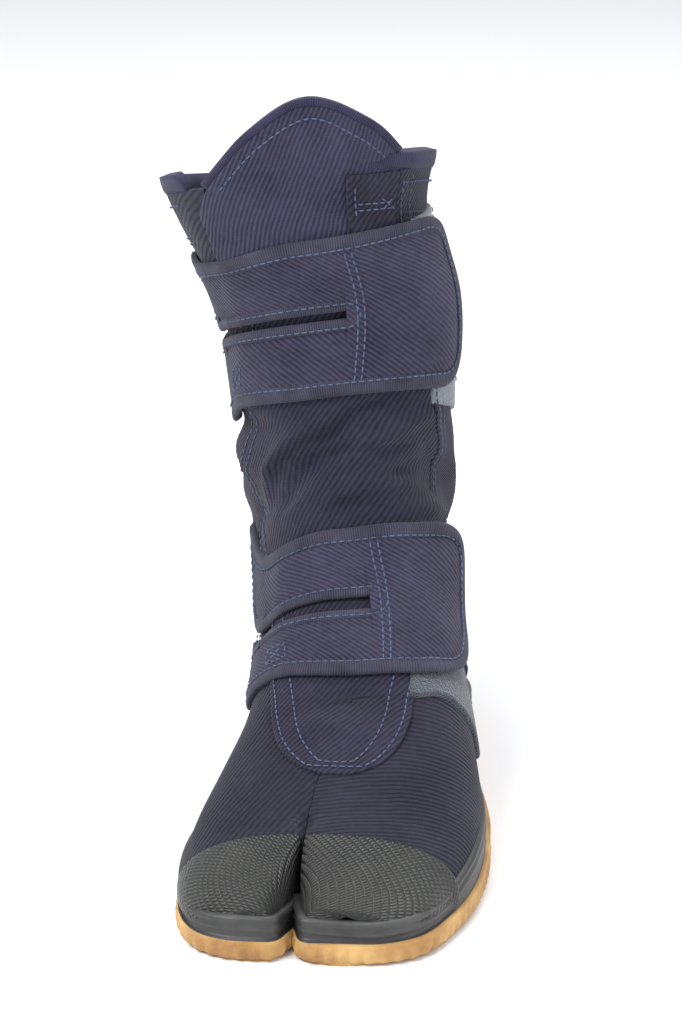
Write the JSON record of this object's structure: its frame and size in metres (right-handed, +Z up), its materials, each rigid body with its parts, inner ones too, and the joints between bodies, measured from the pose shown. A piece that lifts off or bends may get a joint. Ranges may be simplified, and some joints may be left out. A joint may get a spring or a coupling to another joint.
{
  "type": "split-toe work boot",
  "caption": "Tall left work boot with a split toe, rubber toe caps and tread sole, and two slotted hook-and-loop straps that peel open across the shaft.",
  "frame": {"origin": "centre of the bounding box in plan, at the floor under the sole", "axes": "-Y to the toes, +X to the outer side of the left foot, +Z up the shaft"},
  "size_m": [0.125, 0.2698, 0.2585],
  "materials": {
    "twill": "navy cotton twill",
    "binding_tape": "folded woven tape, dark navy",
    "gum_rubber": "natural gum rubber, satin",
    "black_rubber": "black rubber, fine woven emboss, satin",
    "loop_pile": "soft loop pile of a touch fastener",
    "hook_tape": "moulded hook tape",
    "board": "pressed fibre board",
    "lining_cloth": "plain woven light grey lining",
    "stiffener": "thermoformed stiffener sheet"
  },
  "bodies": {
    "boot": {"back_stay": "twill", "collar_hem": "binding_tape", "facing_lateral": "twill", "facing_medial": "twill", "foxing": "black_rubber", "front_panel": "twill", "heel_cap": "black_rubber", "heel_stiffener": "stiffener", "insole_board": "board", "lower_loop_patch": "loop_pile", "lower_prong_bottom": "twill", "lower_prong_top": "twill", "outsole": "gum_rubber", "quarter_lateral": "twill", "quarter_medial": "twill", "shaft_lining": "lining_cloth", "sock_liner": "lining_cloth", "toe_cap_big": "black_rubber", "toe_cap_small": "black_rubber", "upper_loop_patch": "loop_pile", "upper_prong_bottom": "twill", "upper_prong_top": "twill", "vamp_lateral": "twill", "vamp_lining": "lining_cloth", "vamp_medial": "twill"},
    "upper_strap": {"upper_front": "twill", "upper_front_tape_top": "binding_tape", "upper_front_tape_bottom": "binding_tape", "upper_slot_tape": "binding_tape"},
    "upper_tab": {"upper_tab": "twill", "upper_tab_tape": "binding_tape", "upper_hook_patch": "hook_tape"},
    "lower_strap": {"lower_front": "twill", "lower_front_tape_top": "binding_tape", "lower_front_tape_bottom": "binding_tape", "lower_slot_tape": "binding_tape"},
    "lower_tab": {"lower_tab": "twill", "lower_tab_tape": "binding_tape", "lower_hook_patch": "hook_tape"},
    "tongue": {"tongue_top": "twill"}
  },
  "joints": [
    {"name": "upper_strap_swing", "type": "hinge", "parent": "boot", "child": "upper_strap", "pos_m": [-0.04641, 0.04369, 0.17145], "axis": [0.286, 0, -0.9582], "range_deg": [0, 100]},
    {"name": "upper_tab_peel", "type": "hinge", "parent": "upper_strap", "child": "upper_tab", "pos_m": [0.01204, 0.01899, 0.1787], "axis": [0.1141, 0.0129, -0.9934], "range_deg": [0, 95]},
    {"name": "lower_strap_swing", "type": "hinge", "parent": "boot", "child": "lower_strap", "pos_m": [-0.0256, -0.01321, 0.064], "axis": [-0.1526, -0.7846, -0.6009], "range_deg": [0, 85]},
    {"name": "lower_tab_peel", "type": "hinge", "parent": "lower_strap", "child": "lower_tab", "pos_m": [0.0219, -0.01891, 0.08125], "axis": [0.1151, -0.7771, -0.6188], "range_deg": [0, 95]},
    {"name": "tongue_fold", "type": "hinge", "parent": "boot", "child": "tongue", "pos_m": [-0.0126, 0.02179, 0.2172], "axis": [1, 0, 0], "range_deg": [0, 60]}
  ]
}
